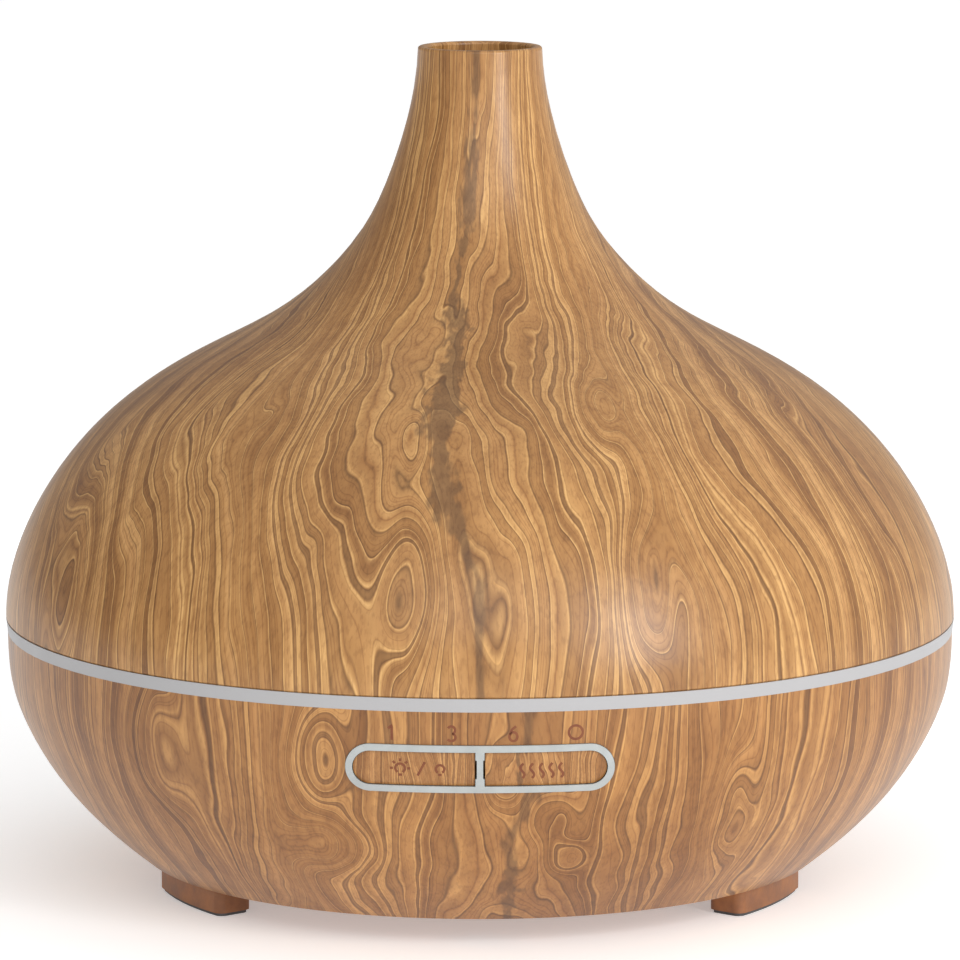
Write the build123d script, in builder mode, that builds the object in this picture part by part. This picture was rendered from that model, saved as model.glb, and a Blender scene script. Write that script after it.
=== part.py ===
"""Ultrasonic oil diffuser: a lift-off cover over a mist cover and a water tank, on a case with a fan.

Millimetres, +Z up. The origin is on the floor, on the axis of the case. The buttons face -Y, and turns are
counted from there towards +X.
"""

import os
from math import cos, radians, sin

from build123d import *

# Driving dimensions of the outside
BODY_RADIUS = 84.0  # widest point, at the seam
SEAM_HEIGHT = 47.5  # where the cover stands on the tank's rim
BAND_HEIGHT = 2.25  # rim of the tank that shows as the light band
TOTAL_HEIGHT = 148.0
MOUTH_RADIUS = 10.9
CASE_BOTTOM = 5.0
CASE_BOTTOM_RADIUS = 60.0

# Walls
COVER_WALL = 2.2
MOUTH_WALL = 1.5
CASE_WALL = 2.2
TANK_WALL = 2.0
MIST_WALL = 1.5

# Tank
TANK_FLOOR = 20.0
TANK_RADIUS = 69.6
LIP_RADIUS = 81.2
LIP_WALL = 1.3
LIP_HEIGHT = 2.8
FILL_LINE = 43.0

# Mist cover
MIST_RIM_RADIUS = 78.9
SKIRT_RADIUS = 69.2
CHIMNEY_FOOT = 90.0
CHIMNEY_TOP = 142.5

# Bottom plate and feet
PLATE = 2.4
PLATE_RADIUS = 58.6
LEDGE_RADIUS = 53.0
FOOT_OUTER = 58.2
FOOT_INNER = 51.0
FOOT_SPAN = 25.5
FOOT_TURNS = {"right": 63.5, "rear": 180.0, "left": -63.5}
PAD_PROUD = 0.6
PAD_DEPTH = 1.2
PAD_INSET = 0.5
CASE_SCREW_RADIUS = 54.0
CASE_SCREW_TURNS = (0, 120, 240)

# Buttons
PANEL_HEIGHT = 35.5  # middle of the button frame
PANEL_LENGTH = 44.6
PANEL_WIDTH = 8.3
FRAME_BAND = 1.15
FRAME_PROUD = 0.35
FRAME_FLANGE = 2.8  # the flange behind the wall is longer and wider than the frame by this
CAP_FLANGE = 1.4
DIVIDER = 1.5
DIVIDER_WAIST = 1.05
WAIST_HEIGHT = 3.3
CAP_GAP = 0.12
CAP_SUNK = 0.12
BUTTON_X = 10.6
LIP = 0.8  # flanges behind the case wall that hold the frame and the caps
CAP_BACK = -76.6  # flat end of a cap's stem
SWITCH_FRONT = -75.8
BUTTON_BOARD_FRONT = -72.9
BUTTON_POST_X = 26.5
MARK_X = (-15.2, -5.1, 5.1, 15.2)
BOARD = 1.2
POST_RADIUS = 2.2
PLUNGER_RADIUS = 1.6

# Works inside the case
FLOOR_INSIDE = CASE_BOTTOM + PLATE
LEDGE_TOP = FLOOR_INSIDE + 2.2  # ring inside the case that the plate and the tank screw to
TANK_UNDERSIDE = TANK_FLOOR - TANK_WALL
DISC_Y = -14.0
DISC_RADIUS = 10.0
DISC_BOSS = 15.0
DISC_SEAT = 13.4
DISC_SCREW_RADIUS = 13.1
FAN_Y = 24.0
FAN_SIDE = 40.0
FAN_DEPTH = 7.0
FAN_BORE = 18.8
FAN_TOP = FLOOR_INSIDE + FAN_DEPTH
DUCT_Y = 36.0
DUCT_TOP = 53.5
DRIVER_HEIGHT = 9.0
DRIVER_TOP = DRIVER_HEIGHT + BOARD
JACK_HEIGHT = 11.4
JACK_FRONT = 60.5
JACK_POCKET = 5.8
LED_BOARD = 42.9
LED_RADIUS = 77.6
PIN_RADIUS = 1.05  # centre pin of a 2.1 mm inlet
PIN_ROOT_RADIUS = 0.6
PIN_ROOT = JACK_FRONT - 9.3
PIN_BACK = JACK_FRONT - 12.0
LEAD = 0.7
SELF_TAP = 0.8  # pilot hole for the small screws
CASE_SCREW_HOLE = 1.6


def around(turn, radius):
    """A point on a circle about the axis, counted from the front."""
    return (radius * sin(radians(turn)), -radius * cos(radians(turn)))


DISC_SCREW_PLACES = [
    (DISC_SCREW_RADIUS * cos(radians(turn)), DISC_Y + DISC_SCREW_RADIUS * sin(radians(turn)))
    for turn in (60, 180, 300)
]


def parallel(curve, distance, end_distance=None, count=16):
    """Points at a distance outside a profile that runs upwards, or inside it if the distance is negative."""
    end_distance = distance if end_distance is None else end_distance
    points = []
    for step in range(count + 1):
        share = step / count
        along = curve % share
        out = Vector(along.Y, -along.X)
        points.append(curve @ share + out * (distance + (end_distance - distance) * share))
    return points


def turned(outline):
    """The solid of revolution of a closed outline of radii and heights."""
    with BuildPart() as solid:
        with BuildSketch(Plane.XZ):
            with BuildLine():
                outline()
            make_face()
        revolve(axis=Axis.Z)
    return solid.part


def layer(curve, inner, outer):
    """The solid between two surfaces parallel to a turned profile."""

    def outline():
        inside = Spline(*parallel(curve, inner))
        outside = Spline(*parallel(curve, outer))
        Line(inside @ 0, outside @ 0)
        Line(inside @ 1, outside @ 1)

    return turned(outline)


def filled(points, high=None):
    """The solid inside a turned run of points, closed flat to the axis at both ends."""

    def outline():
        run = Spline(*points)
        top = run @ 1 if high is None else Vector((run @ 1).X, high)
        if high is not None:
            Line(run @ 1, top)
        Polyline(run @ 0, (0, (run @ 0).Y), (0, top.Y), top)

    return turned(outline)


def washer(outer, inner, low, high, centre=(0, 0)):
    """A flat ring between two heights."""
    with BuildPart() as ring:
        with BuildSketch(Plane.XY.offset(low)):
            with Locations(centre):
                Circle(outer)
                if inner:
                    Circle(inner, mode=Mode.SUBTRACT)
        extrude(amount=high - low)
    return ring.part


def block(size, centre, low, corner=0.4):
    """A box with rounded upright edges, standing at a height."""
    with BuildPart() as box:
        with BuildSketch(Plane.XY.offset(low)):
            with Locations(centre):
                RectangleRounded(size[0], size[1], corner)
        extrude(amount=size[2])
    return box.part


def save(part, name):
    """Labels a finished piece and writes it under its name."""
    part.label = name
    export_step(part, f"parts/{name}.step")


def outside_of(curve_points, tangents):
    """A smooth profile through points of radius and height."""
    return Spline(*curve_points, tangents=tangents)


os.makedirs("parts", exist_ok=True)

BAND_BOTTOM = SEAM_HEIGHT - BAND_HEIGHT
BAND_LOW_RADIUS = BODY_RADIUS - 0.25

COVER_CURVE = outside_of(
    [
        (BODY_RADIUS, SEAM_HEIGHT),
        (81.6, 60.1),
        (74.9, 72.7),
        (63.0, 85.3),
        (49.9, 93.7),
        (34.4, 102.1),
        (24.9, 110.5),
        (17.8, 121.0),
        (13.2, 133.5),
        (MOUTH_RADIUS, TOTAL_HEIGHT),
    ],
    tangents=[(0, 1), (-0.1, 1)],
)
CASE_CURVE = outside_of(
    [
        (CASE_BOTTOM_RADIUS, CASE_BOTTOM),
        (70.1, 13.9),
        (77.9, 24.0),
        (82.5, 34.0),
        (BAND_LOW_RADIUS, BAND_BOTTOM),
    ],
    tangents=[(1, 0.78), (0.02, 1)],
)
TANK_CURVE = outside_of(
    [(56.0, TANK_FLOOR), (65.3, 24.5), (69.0, 33.0), (TANK_RADIUS, SEAM_HEIGHT)],
    tangents=[(1, 0), (0, 1)],
)
MIST_CURVE = outside_of(
    [(73.5, SEAM_HEIGHT + 1.0), (66.0, 60.0), (45.0, 72.0), (20.0, 79.0), (8.6, CHIMNEY_FOOT)],
    tangents=[(-0.15, 1), (-0.02, 1)],
)

# ---------------------------------------------------------------- outer cover
with BuildPart() as outer_cover:
    add(filled(parallel(COVER_CURVE, 0)))
    add(filled(parallel(COVER_CURVE, -COVER_WALL, -MOUTH_WALL), high=TOTAL_HEIGHT + 1), mode=Mode.SUBTRACT)
    seat_edges = outer_cover.edges().group_by(Axis.Z)[0]
    chamfer(seat_edges.sort_by(SortBy.LENGTH)[-1], 0.3)
    rim_edges = outer_cover.edges().group_by(Axis.Z)[-1]
    fillet(rim_edges, 0.5)
save(outer_cover.part, "outer_cover")

# ---------------------------------------------------------------- mist cover
with BuildPart() as mist_cover:

    def mist_outside():
        dome = Spline(*parallel(MIST_CURVE, 0))
        Polyline(dome @ 1, (7.4, CHIMNEY_TOP), (0, CHIMNEY_TOP), (0, SEAM_HEIGHT + 1), dome @ 0)

    def mist_inside():
        dome = Spline(*parallel(MIST_CURVE, -MIST_WALL))
        Polyline(
            dome @ 1,
            (7.4 - MIST_WALL, CHIMNEY_TOP + 1),
            (0, CHIMNEY_TOP + 1),
            (0, SEAM_HEIGHT - 1),
            ((dome @ 0).X, SEAM_HEIGHT - 1),
            dome @ 0,
        )

    add(turned(mist_outside))
    add(washer(MIST_RIM_RADIUS, 0, SEAM_HEIGHT, SEAM_HEIGHT + 1.5))
    add(turned(mist_inside), mode=Mode.SUBTRACT)
    add(washer(73.0, SKIRT_RADIUS - 1.4, SEAM_HEIGHT, SEAM_HEIGHT + 1.5))
    add(washer(SKIRT_RADIUS, SKIRT_RADIUS - 1.4, SEAM_HEIGHT - 3.5, SEAM_HEIGHT + 1.5))
save(mist_cover.part, "mist_cover")

# ---------------------------------------------------------------- water tank
with BuildPart() as water_tank:
    add(filled(parallel(TANK_CURVE, TANK_WALL)))
    with BuildSketch(Plane.XZ):
        with BuildLine():
            Polyline(
                (TANK_RADIUS, SEAM_HEIGHT),
                (BODY_RADIUS, SEAM_HEIGHT),
                (BAND_LOW_RADIUS, BAND_BOTTOM),
                (TANK_RADIUS, BAND_BOTTOM),
                close=True,
            )
        make_face()
    revolve(axis=Axis.Z)
    add(washer(LIP_RADIUS, LIP_RADIUS - LIP_WALL, SEAM_HEIGHT, SEAM_HEIGHT + LIP_HEIGHT))
    add(washer(DISC_BOSS, 0, DISC_SEAT, TANK_UNDERSIDE + 1, (0, DISC_Y)))
    add(washer(FAN_BORE + 1.0, 0, FAN_TOP, TANK_UNDERSIDE + 1, (0, FAN_Y)))
    for turn in CASE_SCREW_TURNS:
        add(washer(3.2, 0, LEDGE_TOP, TANK_UNDERSIDE + 1, around(turn, CASE_SCREW_RADIUS)))
    for step in range(6):
        add(washer(0.9, 0, LED_BOARD - 0.5, BAND_BOTTOM + 0.5, around(30 + 60 * step, LED_RADIUS)))
    add(filled(parallel(TANK_CURVE, 0), high=SEAM_HEIGHT + 1), mode=Mode.SUBTRACT)
    add(washer(FAN_BORE, 0, FAN_TOP, TANK_UNDERSIDE, (0, FAN_Y)), mode=Mode.SUBTRACT)
    add(washer(DISC_RADIUS + 1.2, 0, DISC_SEAT, TANK_UNDERSIDE, (0, DISC_Y)), mode=Mode.SUBTRACT)
    add(washer(8.5, 0, TANK_UNDERSIDE, TANK_FLOOR, (0, DISC_Y)), mode=Mode.SUBTRACT)
    add(block((21.0, 9.0, TANK_WALL), (0, DUCT_Y), TANK_UNDERSIDE, 1.5), mode=Mode.SUBTRACT)
    for turn in CASE_SCREW_TURNS:
        pilot = washer(1.25, 0, LEDGE_TOP, 17.0, around(turn, CASE_SCREW_RADIUS))
        add(pilot, mode=Mode.SUBTRACT)
    for place in DISC_SCREW_PLACES:
        add(washer(0.85, 0, DISC_SEAT, 16.6, place), mode=Mode.SUBTRACT)
    add(washer(TANK_RADIUS + 0.2, TANK_RADIUS - 0.7, FILL_LINE, FILL_LINE + 0.6))
save(water_tank.part, "water_tank")

# ---------------------------------------------------------------- air duct
with BuildPart() as air_duct:
    add(block((28.0, 15.0, 1.5), (0, DUCT_Y), TANK_FLOOR, 2.5))
    add(block((24.0, 12.0, DUCT_TOP - TANK_FLOOR), (0, DUCT_Y), TANK_FLOOR, 2.0))
    add(block((20.8, 8.8, TANK_WALL), (0, DUCT_Y), TANK_UNDERSIDE, 1.4))
    add(block((17.6, 5.6, 6.0), (0, DUCT_Y), TANK_UNDERSIDE, 1.0), mode=Mode.SUBTRACT)
    add(block((20.8, 8.8, DUCT_TOP - 23.0), (0, DUCT_Y), 21.5, 1.2), mode=Mode.SUBTRACT)
    add(block((17.0, 8.0, 6.0), (0, DUCT_Y - 6.0), DUCT_TOP - 8.0), mode=Mode.SUBTRACT)
save(air_duct.part, "air_duct")

# ---------------------------------------------------------------- ultrasonic disc and its seal
DISC_LOW = 15.2
DISC_HIGH = 16.5
save(washer(DISC_RADIUS, 0, DISC_HIGH - 0.3, DISC_HIGH, (0, DISC_Y)), "disc_face")
save(washer(DISC_RADIUS, 0, DISC_LOW, DISC_HIGH - 0.3, (0, DISC_Y)), "piezo_ceramic")

with BuildPart() as disc_seal:
    add(washer(DISC_RADIUS + 1.1, 8.2, DISC_SEAT, TANK_UNDERSIDE, (0, DISC_Y)))
    add(washer(DISC_RADIUS, 0, DISC_LOW, DISC_HIGH, (0, DISC_Y)), mode=Mode.SUBTRACT)
save(disc_seal.part, "disc_seal")

RETAINER = 1.2
with BuildPart() as disc_retainer:
    add(washer(DISC_BOSS, 8.2, DISC_SEAT - RETAINER, DISC_SEAT, (0, DISC_Y)))
    for place in DISC_SCREW_PLACES:
        add(washer(1.0, 0, 0, DISC_SEAT, place), mode=Mode.SUBTRACT)
save(disc_retainer.part, "disc_retainer")


def screw(head, head_height, shank, seat, tip, centre):
    """A round-headed screw that points up: its head is under the seat height."""
    with BuildPart() as one:
        add(washer(shank, 0, seat - 0.3, tip, centre))
        add(washer(head, 0, seat - head_height, seat, centre))
        fillet(one.edges().group_by(Axis.Z)[0], head_height * 0.45)
        add(block((head * 1.1, 0.5, 0.5), centre, seat - head_height, 0.1), mode=Mode.SUBTRACT)
        add(block((0.5, head * 1.1, 0.5), centre, seat - head_height, 0.1), mode=Mode.SUBTRACT)
    return one.part


def screw_down(head, head_height, shank, seat, tip, centre):
    """The same screw pointing down, with its head above the seat height."""
    with BuildPart() as one:
        add(washer(shank, 0, tip, seat + 0.3, centre))
        add(washer(head, 0, seat, seat + head_height, centre))
        fillet(one.edges().group_by(Axis.Z)[-1], head_height * 0.45)
        top = seat + head_height
        add(block((head * 1.1, 0.5, 0.5), centre, top - 0.5, 0.1), mode=Mode.SUBTRACT)
        add(block((0.5, head * 1.1, 0.5), centre, top - 0.5, 0.1), mode=Mode.SUBTRACT)
    return one.part


def group(parts, name):
    """Writes several alike pieces as separate solids under one name."""
    save(Compound(children=[Part(piece.wrapped) for piece in parts]), name)


disc_screws = [screw(1.7, 0.9, 0.8, DISC_SEAT - RETAINER, 16.2, place) for place in DISC_SCREW_PLACES]
group(disc_screws, "disc_screws")


# ---------------------------------------------------------------- case
def panel(length, width, near=60.0, depth=30.0):
    """The long rounded panel shape, run forward through the front wall."""
    with BuildPart() as bar:
        with BuildSketch(Plane.XZ.offset(near)):
            with Locations((0, PANEL_HEIGHT)):
                SlotOverall(length, width)
        extrude(amount=depth)
    return bar.part


def across(outer, inner, near, far, centre):
    """A rod or tube along Y between two places, about a point of X and height."""
    with BuildPart() as rod:
        with BuildSketch(Plane.XZ.offset(-near)):
            with Locations(centre):
                Circle(outer)
                if inner:
                    Circle(inner, mode=Mode.SUBTRACT)
        extrude(amount=near - far)
    return rod.part


CASE_SOLID = filled(parallel(CASE_CURVE, 0))

with BuildPart() as base_shell:
    add(CASE_SOLID)
    fillet(base_shell.edges().group_by(Axis.Z)[0], 0.6)
    add(filled(parallel(CASE_CURVE, -CASE_WALL), high=BAND_BOTTOM + 1), mode=Mode.SUBTRACT)
    add(washer(62.5, 0, FLOOR_INSIDE, LEDGE_TOP))
    add(washer(PLATE_RADIUS, 0, 0, FLOOR_INSIDE), mode=Mode.SUBTRACT)
    add(washer(LEDGE_RADIUS, 0, 0, LEDGE_TOP), mode=Mode.SUBTRACT)
    add(across(JACK_POCKET + 1.2, 0, JACK_FRONT, 80, (0, JACK_HEIGHT)) & CASE_SOLID)
    add(across(JACK_POCKET, 0, JACK_FRONT + 1, 80, (0, JACK_HEIGHT)), mode=Mode.SUBTRACT)
    add(across(3.3, 0, JACK_FRONT, 80, (0, JACK_HEIGHT)), mode=Mode.SUBTRACT)
    add(block((10.4, 14.4, 6.0), (0, JACK_FRONT - 7.2), FLOOR_INSIDE - 1, 0.3), mode=Mode.SUBTRACT)
    add(panel(PANEL_LENGTH + 0.1, PANEL_WIDTH + 0.1), mode=Mode.SUBTRACT)
    for side in (-1, 1):
        place = (side * BUTTON_POST_X, PANEL_HEIGHT)
        add(across(POST_RADIUS, 0, -79, BUTTON_BOARD_FRONT, place) & CASE_SOLID)
        add(across(SELF_TAP, 0, -77.2, BUTTON_BOARD_FRONT, place), mode=Mode.SUBTRACT)
    for turn in CASE_SCREW_TURNS:
        hole = washer(CASE_SCREW_HOLE, 0, 0, LEDGE_TOP, around(turn, CASE_SCREW_RADIUS))
        add(hole, mode=Mode.SUBTRACT)
save(base_shell.part, "base_shell")


def foot(outer, inner, span, corner, low, high, turn):
    """A curved block under the edge of the plate."""
    with BuildPart() as one:
        with BuildSketch(Plane.XY.offset(low)):
            with BuildLine():
                outside = CenterArc((0, 0), outer, -90 - span / 2 + turn, span)
                inside = CenterArc((0, 0), inner, -90 - span / 2 + turn, span)
                Line(outside @ 0, inside @ 0)
                Line(outside @ 1, inside @ 1)
            face = make_face()
            fillet(face.vertices(), corner)
        extrude(amount=high - low)
    return one.part


PAD_SPAN = FOOT_SPAN - 2 * PAD_INSET
BOARD_POSTS = ((-44.0, -12.0), (44.0, -12.0), (0.0, -44.0))
FAN_CORNERS = [(x, FAN_Y + y) for x in (-16, 16) for y in (-16, 16)]

with BuildPart() as bottom_cover:
    add(washer(PLATE_RADIUS - 0.2, 0, CASE_BOTTOM, FLOOR_INSIDE))
    fillet(bottom_cover.edges().group_by(Axis.Z)[0], 0.3)
    for turn in FOOT_TURNS.values():
        add(foot(FOOT_OUTER, FOOT_INNER, FOOT_SPAN, 1.6, PAD_PROUD, CASE_BOTTOM + 0.5, turn))
        recess = foot(
            FOOT_OUTER - PAD_INSET, FOOT_INNER + PAD_INSET, PAD_SPAN, 1.2, 0, PAD_PROUD + PAD_DEPTH, turn
        )
        add(recess, mode=Mode.SUBTRACT)
    for place in BOARD_POSTS:
        add(washer(POST_RADIUS, 0, FLOOR_INSIDE - 0.5, DRIVER_HEIGHT, place))
        add(washer(SELF_TAP, 0, CASE_BOTTOM + 0.8, DRIVER_HEIGHT, place), mode=Mode.SUBTRACT)
    for turn in CASE_SCREW_TURNS:
        place = around(turn, CASE_SCREW_RADIUS)
        add(washer(CASE_SCREW_HOLE, 0, 0, FLOOR_INSIDE, place), mode=Mode.SUBTRACT)
        add(washer(3.0, 0, 0, CASE_BOTTOM + 1.4, place), mode=Mode.SUBTRACT)
    for place in FAN_CORNERS:
        add(washer(1.35, 0, CASE_BOTTOM + 0.8, FLOOR_INSIDE, place), mode=Mode.SUBTRACT)
    with BuildSketch(Plane.XY.offset(CASE_BOTTOM)):
        with Locations((0, FAN_Y)):
            Circle(16.5)
            Circle(13.8, mode=Mode.SUBTRACT)
            Circle(11.9)
            Circle(9.2, mode=Mode.SUBTRACT)
            Circle(7.3)
            Circle(4.6, mode=Mode.SUBTRACT)
            with PolarLocations(9.0, 3):
                Rectangle(18, 2.2, mode=Mode.SUBTRACT)
    extrude(amount=PLATE, mode=Mode.SUBTRACT)
save(bottom_cover.part, "bottom_cover")

for side, turn in FOOT_TURNS.items():
    pad = foot(
        FOOT_OUTER - PAD_INSET, FOOT_INNER + PAD_INSET, PAD_SPAN, 1.2, 0, PAD_PROUD + PAD_DEPTH, turn
    )
    save(pad, f"foot_pad_{side}")

case_screws = []
for turn in CASE_SCREW_TURNS:
    place = around(turn, CASE_SCREW_RADIUS)
    case_screws.append(screw(2.7, 1.2, 1.2, CASE_BOTTOM + 1.4, 16.5, place))
group(case_screws, "case_screws")

# ---------------------------------------------------------------- buttons
WINDOW_LENGTH = PANEL_LENGTH - 2 * FRAME_BAND
WINDOW_WIDTH = PANEL_WIDTH - 2 * FRAME_BAND


def bar(width, height, x=0.0):
    """A post across the middle of the panel, run forward through the front wall."""
    with BuildPart() as post:
        with BuildSketch(Plane.XZ.offset(60)):
            with Locations((x, PANEL_HEIGHT)):
                Rectangle(width, height)
        extrude(amount=30)
    return post.part


def windows():
    """The two windows of the frame, either side of a divider with a narrow waist."""
    notch = (DIVIDER - DIVIDER_WAIST) / 2
    with BuildPart() as pair:
        add(panel(WINDOW_LENGTH, WINDOW_WIDTH))
        add(bar(DIVIDER, PANEL_WIDTH), mode=Mode.SUBTRACT)
        for side in (-1, 1):
            add(bar(notch + 0.1, WAIST_HEIGHT, side * (DIVIDER / 2 - notch / 2 + 0.05)))
    return pair.part


with BuildPart() as button_frame:
    add(panel(PANEL_LENGTH + FRAME_FLANGE, PANEL_WIDTH + FRAME_FLANGE))
    add(layer(CASE_CURVE, -CASE_WALL - LIP, -CASE_WALL - 0.05), mode=Mode.INTERSECT)
    add(panel(PANEL_LENGTH, PANEL_WIDTH) & layer(CASE_CURVE, -CASE_WALL - LIP, FRAME_PROUD))
    add(windows(), mode=Mode.SUBTRACT)
save(button_frame.part, "button_frame")


def cap(side):
    """One button: a cap that follows the case, a flange behind the frame and a stem to its switch."""
    half = bar(PANEL_LENGTH, PANEL_WIDTH * 2, side * (PANEL_LENGTH / 2 + DIVIDER / 2 + CAP_GAP))
    with BuildPart() as button:
        add(panel(WINDOW_LENGTH - 2 * CAP_GAP, WINDOW_WIDTH - 2 * CAP_GAP) & half)
        add(layer(CASE_CURVE, -CASE_WALL - LIP - 0.9, -CAP_SUNK), mode=Mode.INTERSECT)
        flange = panel(WINDOW_LENGTH + CAP_FLANGE, WINDOW_WIDTH + CAP_FLANGE)
        flange = flange & bar(PANEL_LENGTH, PANEL_WIDTH * 2, side * (PANEL_LENGTH / 2 + 0.3))
        add(flange & layer(CASE_CURVE, -CASE_WALL - LIP - 0.8, -CASE_WALL - LIP - 0.1))
        add(across(1.8, 0, -80.0, CAP_BACK, (side * BUTTON_X, PANEL_HEIGHT)))
    return button.part


def switch(side):
    """A small push switch, with a round pit for its plunger."""
    with BuildPart() as body:
        with BuildSketch(Plane.XZ.offset(-BUTTON_BOARD_FRONT)):
            with Locations((side * BUTTON_X, PANEL_HEIGHT)):
                RectangleRounded(6, 6, 0.5)
        extrude(amount=BUTTON_BOARD_FRONT - SWITCH_FRONT)
        pit = across(PLUNGER_RADIUS + 0.1, 0, SWITCH_FRONT, -73.9, (side * BUTTON_X, PANEL_HEIGHT))
        add(pit, mode=Mode.SUBTRACT)
    return body.part


for side, name in ((-1, "light"), (1, "mist")):
    save(cap(side), f"{name}_button")
    save(switch(side), f"{name}_switch")
    plunger = across(PLUNGER_RADIUS, 0, CAP_BACK, -74.5, (side * BUTTON_X, PANEL_HEIGHT))
    save(plunger, f"{name}_switch_plunger")

with BuildPart() as button_board:
    with BuildSketch(Plane.XZ.offset(-BUTTON_BOARD_FRONT)):
        with Locations((0, 36.0)):
            RectangleRounded(57.2, 13.2, 6.0)
        with Locations((-BUTTON_POST_X, PANEL_HEIGHT), (BUTTON_POST_X, PANEL_HEIGHT)):
            Circle(0.9, mode=Mode.SUBTRACT)
    extrude(amount=-BOARD)
save(button_board.part, "button_board")

board_back = BUTTON_BOARD_FRONT + BOARD
button_screws = []
for side in (-1, 1):
    with BuildPart() as one:
        place = (side * BUTTON_POST_X, PANEL_HEIGHT)
        add(across(0.7, 0, -77.0, board_back + 0.2, place))
        add(across(1.7, 0, board_back, board_back + 1.0, place))
        fillet(one.edges().group_by(Axis.Y)[-1], 0.4)
    button_screws.append(one.part)
group(button_screws, "button_board_screws")

timer_leds = []
for x in MARK_X:
    with BuildPart() as one:
        with BuildSketch(Plane.XZ.offset(-BUTTON_BOARD_FRONT)):
            with Locations((x, 41.2)):
                RectangleRounded(2.4, 1.4, 0.2)
        extrude(amount=1.0)
    timer_leds.append(one.part)
group(timer_leds, "timer_leds")

# ---------------------------------------------------------------- light ring under the tank's rim
with BuildPart() as led_ring_board:
    add(washer(79.9, 75.3, LED_BOARD, LED_BOARD + 1.0))
    for step in range(6):
        hole = washer(1.0, 0, LED_BOARD, LED_BOARD + 1, around(30 + 60 * step, LED_RADIUS))
        add(hole, mode=Mode.SUBTRACT)
save(led_ring_board.part, "led_ring_board")

ring_leds = []
for step in range(12):
    led = block((3.4, 2.8, 1.1), (0, -LED_RADIUS), LED_BOARD + 1.0).rotate(Axis.Z, 15 + 30 * step)
    ring_leds.append(led)
group(ring_leds, "ring_leds")

# ---------------------------------------------------------------- fan
HUB_RADIUS = 9.5
ROTOR_LOW = 8.0
ROTOR_HIGH = 12.9
MOTOR_PLATE = 1.0

with BuildPart() as fan_frame:
    add(block((FAN_SIDE, FAN_SIDE, FAN_DEPTH), (0, FAN_Y), FLOOR_INSIDE, 3.0))
    add(washer(FAN_BORE, 0, FLOOR_INSIDE, FAN_TOP, (0, FAN_Y)), mode=Mode.SUBTRACT)
    for place in FAN_CORNERS:
        add(washer(1.6, 0, FLOOR_INSIDE, FAN_TOP, place), mode=Mode.SUBTRACT)
    add(washer(HUB_RADIUS + 1, 0, FAN_TOP - MOTOR_PLATE, FAN_TOP, (0, FAN_Y)))
    for turn in (20, 140, 260):
        strut = block((2.2, FAN_BORE - 6, MOTOR_PLATE), (0, -13.5), FAN_TOP - MOTOR_PLATE)
        add(strut.rotate(Axis.Z, turn).translate((0, FAN_Y, 0)))
    add(washer(2.9, 0, ROTOR_LOW + 1.2, FAN_TOP, (0, FAN_Y)))
    add(washer(1.9, 0, ROTOR_LOW, FAN_TOP - 0.6, (0, FAN_Y)), mode=Mode.SUBTRACT)
save(fan_frame.part, "fan_frame")
save(washer(1.9, 0.78, ROTOR_LOW + 1.2, FAN_TOP - 0.6, (0, FAN_Y)), "fan_bearing")
save(washer(0.75, 0, ROTOR_LOW + 0.4, FAN_TOP - 0.9, (0, FAN_Y)), "fan_shaft")
save(washer(HUB_RADIUS - 0.9, HUB_RADIUS - 1.8, 9.0, 12.7, (0, FAN_Y)), "fan_magnet")

with BuildPart() as fan_stator:
    add(washer(4.0, 2.9, 9.6, 13.2, (0, FAN_Y)))
    for turn in range(0, 360, 90):
        arm = block((2.2, 3.4, 1.6), (0, -4.9), 10.5, 0.2)
        shoe = washer(7.2, 6.2, 10.2, 12.4) & block((6.4, 4.0, 4.0), (0, -6.6), 9.5, 0.2)
        coil = block((3.8, 1.9, 3.0), (0, -5.0), 9.8, 0.6)
        for piece in (arm, shoe, coil):
            add(piece.rotate(Axis.Z, turn + 45).translate((0, FAN_Y, 0)))
save(fan_stator.part, "fan_stator")


def blade():
    """One lens-shaped fan blade, pitched about a radius and run outwards from the hub."""
    with BuildPart() as one:
        with BuildSketch(Plane.YZ.offset(HUB_RADIUS - 0.6)):
            with BuildLine():
                low, high = (-3.1, 8.5), (3.1, 12.7)
                ThreePointArc(low, (-0.85, 11.6), high)
                ThreePointArc(low, (-0.35, 10.9), high)
            make_face()
        extrude(amount=10)
        add(washer(FAN_BORE - 0.6, 0, 0, 20), mode=Mode.INTERSECT)
    return one.part


with BuildPart() as fan_rotor:
    add(washer(HUB_RADIUS, 0, ROTOR_LOW, ROTOR_HIGH, (0, FAN_Y)))
    fillet(fan_rotor.edges().group_by(Axis.Z)[0], 0.8)
    add(washer(HUB_RADIUS - 0.9, 0, ROTOR_LOW + 0.8, ROTOR_HIGH, (0, FAN_Y)), mode=Mode.SUBTRACT)
    add(washer(0.75, 0, ROTOR_LOW + 0.4, ROTOR_HIGH, (0, FAN_Y)), mode=Mode.SUBTRACT)
    for step in range(7):
        add(blade().rotate(Axis.Z, step * 360 / 7).translate((0, FAN_Y, 0)))
save(fan_rotor.part, "fan_rotor")

group([screw_down(2.4, 1.2, 1.2, FAN_TOP, 6.0, place) for place in FAN_CORNERS], "fan_screws")

# ---------------------------------------------------------------- driver board
with BuildPart() as driver_board:
    with BuildSketch(Plane.XY.offset(DRIVER_HEIGHT)):
        Circle(50)
        with Locations((0, 27)):
            Rectangle(110, 50, mode=Mode.SUBTRACT)
        with Locations(*BOARD_POSTS):
            Circle(1.1, mode=Mode.SUBTRACT)
    extrude(amount=BOARD)
save(driver_board.part, "driver_board")
group([screw_down(2.0, 1.1, 0.7, DRIVER_TOP, 6.2, place) for place in BOARD_POSTS], "board_screws")

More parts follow.
